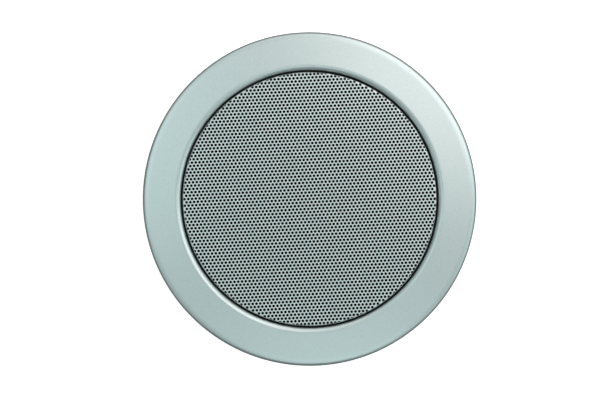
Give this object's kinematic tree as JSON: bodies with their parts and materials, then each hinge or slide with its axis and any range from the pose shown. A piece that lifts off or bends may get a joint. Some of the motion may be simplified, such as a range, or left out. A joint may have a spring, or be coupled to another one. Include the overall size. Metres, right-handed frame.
{
  "type": "in-ceiling speaker",
  "caption": "Round flush in-ceiling loudspeaker: silver trim ring, perforated grille, woofer with a bridge-mounted tweeter, swing-out clamps and spring terminals.",
  "frame": {"origin": "on the speaker's axis, in the plane of the flange's back, which lies against the ceiling", "axes": "+Z out of the front face towards the room, +Y up and +X right in the picture"},
  "size_m": [0.22, 0.22, 0.0694],
  "materials": {
    "silver_abs": "satin silver paint on moulded ABS",
    "silver_grille": "satin silver paint on perforated steel",
    "black_cloth": "matt black acoustic cloth",
    "black_abs": "fine-textured black ABS",
    "black_foam": "closed-cell foam",
    "black_steel": "black coated pressed steel",
    "zinc_steel": "zinc-plated steel",
    "ferrite": "ground dark ferrite",
    "black_rubber": "moulded rubber",
    "cone_polymer": "matt polypropylene",
    "resin_cloth": "resin-stiffened woven cloth",
    "coil_foil": "thin aluminium foil",
    "copper_wire": "enamelled copper wire",
    "phenolic": "brown phenolic sheet",
    "tag_brass": "tinned brass",
    "black_silk": "coated silk",
    "circuit_board": "green solder resist",
    "film_capacitor": "yellow tape wrap",
    "red_plastic": "moulded red plastic",
    "black_plastic": "moulded black plastic"
  },
  "bodies": {
    "frame": {"trim_ring": "silver_abs", "grille": "silver_grille", "grille_cloth": "black_cloth", "mounting_frame": "black_abs", "woofer_gasket": "black_foam", "woofer_basket": "black_steel", "rim_gasket": "black_foam", "surround": "black_rubber", "spider": "resin_cloth", "front_plate": "zinc_steel", "magnet": "ferrite", "back_plate": "zinc_steel", "tag_board": "phenolic", "woofer_tags": "tag_brass", "woofer_screws": "zinc_steel", "tweeter_bridge": "black_abs", "tweeter_pot": "zinc_steel", "tweeter_magnet": "zinc_steel", "tweeter_plate": "zinc_steel", "tweeter_coil": "copper_wire", "tweeter_dome": "black_silk", "tweeter_ring": "black_abs", "bridge_screws": "zinc_steel", "crossover_housing": "black_abs", "housing_screws": "zinc_steel", "crossover_board": "circuit_board", "capacitor": "film_capacitor", "coil_bobbin": "black_plastic", "coil_winding": "copper_wire", "terminal_block": "black_plastic", "terminal_tags": "tag_brass"},
    "cone": {"cone": "cone_polymer", "dust_cap": "cone_polymer", "coil_former": "coil_foil", "voice_coil": "copper_wire"},
    "terminal_button_red": {"terminal_button_red": "red_plastic"},
    "terminal_button_black": {"terminal_button_black": "black_plastic"},
    "clamp_screw_1": {"clamp_screw_1": "zinc_steel"},
    "clamp_dog_1": {"clamp_dog_1": "black_abs"},
    "clamp_screw_2": {"clamp_screw_2": "zinc_steel"},
    "clamp_dog_2": {"clamp_dog_2": "black_abs"},
    "clamp_screw_3": {"clamp_screw_3": "zinc_steel"},
    "clamp_dog_3": {"clamp_dog_3": "black_abs"}
  },
  "joints": [
    {"name": "cone_travel", "type": "slide", "parent": "frame", "child": "cone", "axis": [0, 0, 1], "range_m": [-0.003, 0.003], "stiffness_N_per_m": 1500, "deforming": ["surround", "spider"]},
    {"name": "terminal_red_press", "type": "slide", "parent": "frame", "child": "terminal_button_red", "axis": [0, 0, 1], "range_m": [0, 0.0025], "stiffness_N_per_m": 700, "springref_m": -0.001},
    {"name": "terminal_black_press", "type": "slide", "parent": "frame", "child": "terminal_button_black", "axis": [0, 0, 1], "range_m": [0, 0.0025], "stiffness_N_per_m": 700, "springref_m": -0.001},
    {"name": "clamp_swing_1", "type": "hinge", "parent": "frame", "child": "clamp_screw_1", "pos_m": [0.0157, 0.07385, -0.03], "axis": [0, 0, -1], "range_deg": [0, 90]},
    {"name": "clamp_travel_1", "type": "slide", "parent": "clamp_screw_1", "child": "clamp_dog_1", "axis": [0, 0, 1], "range_m": [0, 0.028]},
    {"name": "clamp_swing_2", "type": "hinge", "parent": "frame", "child": "clamp_screw_2", "pos_m": [-0.0718, -0.02333, -0.03], "axis": [0, 0, -1], "range_deg": [0, 90]},
    {"name": "clamp_travel_2", "type": "slide", "parent": "clamp_screw_2", "child": "clamp_dog_2", "axis": [0, 0, 1], "range_m": [0, 0.028]},
    {"name": "clamp_swing_3", "type": "hinge", "parent": "frame", "child": "clamp_screw_3", "pos_m": [0.05611, -0.05052, -0.03], "axis": [0, 0, -1], "range_deg": [0, 90]},
    {"name": "clamp_travel_3", "type": "slide", "parent": "clamp_screw_3", "child": "clamp_dog_3", "axis": [0, 0, 1], "range_m": [0, 0.028]}
  ]
}
